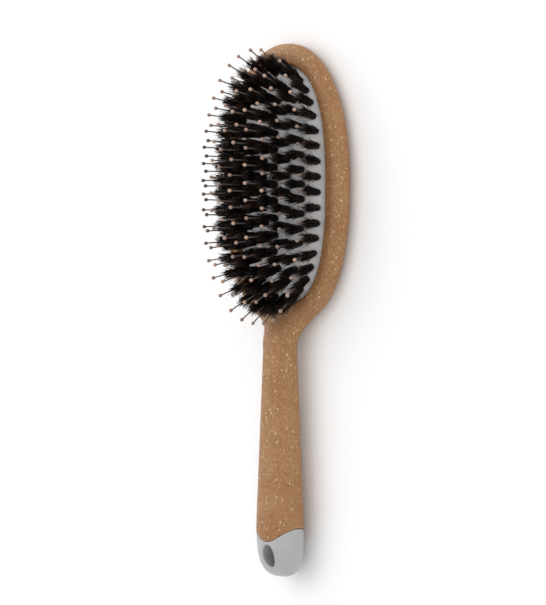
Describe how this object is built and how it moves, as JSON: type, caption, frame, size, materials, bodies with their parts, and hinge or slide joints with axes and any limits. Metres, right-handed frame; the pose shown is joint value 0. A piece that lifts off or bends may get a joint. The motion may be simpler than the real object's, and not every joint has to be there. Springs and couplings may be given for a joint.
{
  "type": "paddle hair brush",
  "caption": "Oval paddle hair brush with a flecked composite body, domed rubber cushion, bristle tufts with ball-tipped pins, and a grey end cap with a hanging hole.",
  "frame": {"origin": "bottom centre of the overall box: on the plane of the head's flat back, midway along and across the brush", "axes": "+Z toward the bristle side, +Y from the handle end toward the head tip, X across the brush"},
  "size_m": [0.0756, 0.24, 0.0413],
  "materials": {
    "composite": "matte, tan with light flecks",
    "grey_plastic": "satin light grey",
    "inner_plastic": "matte grey",
    "rubber": "matte light grey",
    "tufts": "near black bristle, pinkish beige pin tips"
  },
  "bodies": {
    "body": {"brush_body": "composite", "end_cap": "grey_plastic", "carrier_plate": "inner_plastic", "cushion_pad": "rubber"},
    "tuft_level_1": {"tufts_level1_01": "tufts", "tufts_level1_02": "tufts", "tufts_level1_03": "tufts", "tufts_level1_04": "tufts", "tufts_level1_05": "tufts", "tufts_level1_06": "tufts", "tufts_level1_07": "tufts", "tufts_level1_08": "tufts"},
    "tuft_level_2": {"tufts_level2_01": "tufts", "tufts_level2_02": "tufts", "tufts_level2_03": "tufts", "tufts_level2_04": "tufts", "tufts_level2_05": "tufts"},
    "tuft_level_3": {"tufts_level3_01": "tufts", "tufts_level3_02": "tufts", "tufts_level3_03": "tufts", "tufts_level3_04": "tufts", "tufts_level3_05": "tufts", "tufts_level3_06": "tufts", "tufts_level3_07": "tufts", "tufts_level3_08": "tufts", "tufts_level3_09": "tufts", "tufts_level3_10": "tufts"},
    "tuft_level_4": {"tufts_level4_01": "tufts", "tufts_level4_02": "tufts", "tufts_level4_03": "tufts", "tufts_level4_04": "tufts", "tufts_level4_05": "tufts", "tufts_level4_06": "tufts", "tufts_level4_07": "tufts", "tufts_level4_08": "tufts"},
    "tuft_level_5": {"tufts_level5_01": "tufts", "tufts_level5_02": "tufts", "tufts_level5_03": "tufts", "tufts_level5_04": "tufts", "tufts_level5_05": "tufts"}
  },
  "joints": [
    {"name": "cushion_press", "type": "slide", "parent": "body", "child": "tuft_level_5", "axis": [0, 0, -1], "range_m": [0, 0.004], "stiffness_N_per_m": 2500, "deforming": ["cushion_pad"]},
    {"name": "cushion_give_4", "type": "slide", "parent": "body", "child": "tuft_level_4", "axis": [0, 0, -1], "range_m": [0, 0.00323]},
    {"name": "cushion_give_3", "type": "slide", "parent": "body", "child": "tuft_level_3", "axis": [0, 0, -1], "range_m": [0, 0.0024]},
    {"name": "cushion_give_2", "type": "slide", "parent": "body", "child": "tuft_level_2", "axis": [0, 0, -1], "range_m": [0, 0.00167]},
    {"name": "cushion_give_1", "type": "slide", "parent": "body", "child": "tuft_level_1", "axis": [0, 0, -1], "range_m": [0, 0.000665]}
  ],
  "couplings": [
    {"joint": "cushion_give_4", "follows": "cushion_press", "ratio": 0.7826},
    {"joint": "cushion_give_3", "follows": "cushion_press", "ratio": 0.5761},
    {"joint": "cushion_give_2", "follows": "cushion_press", "ratio": 0.3913},
    {"joint": "cushion_give_1", "follows": "cushion_press", "ratio": 0.1413}
  ]
}
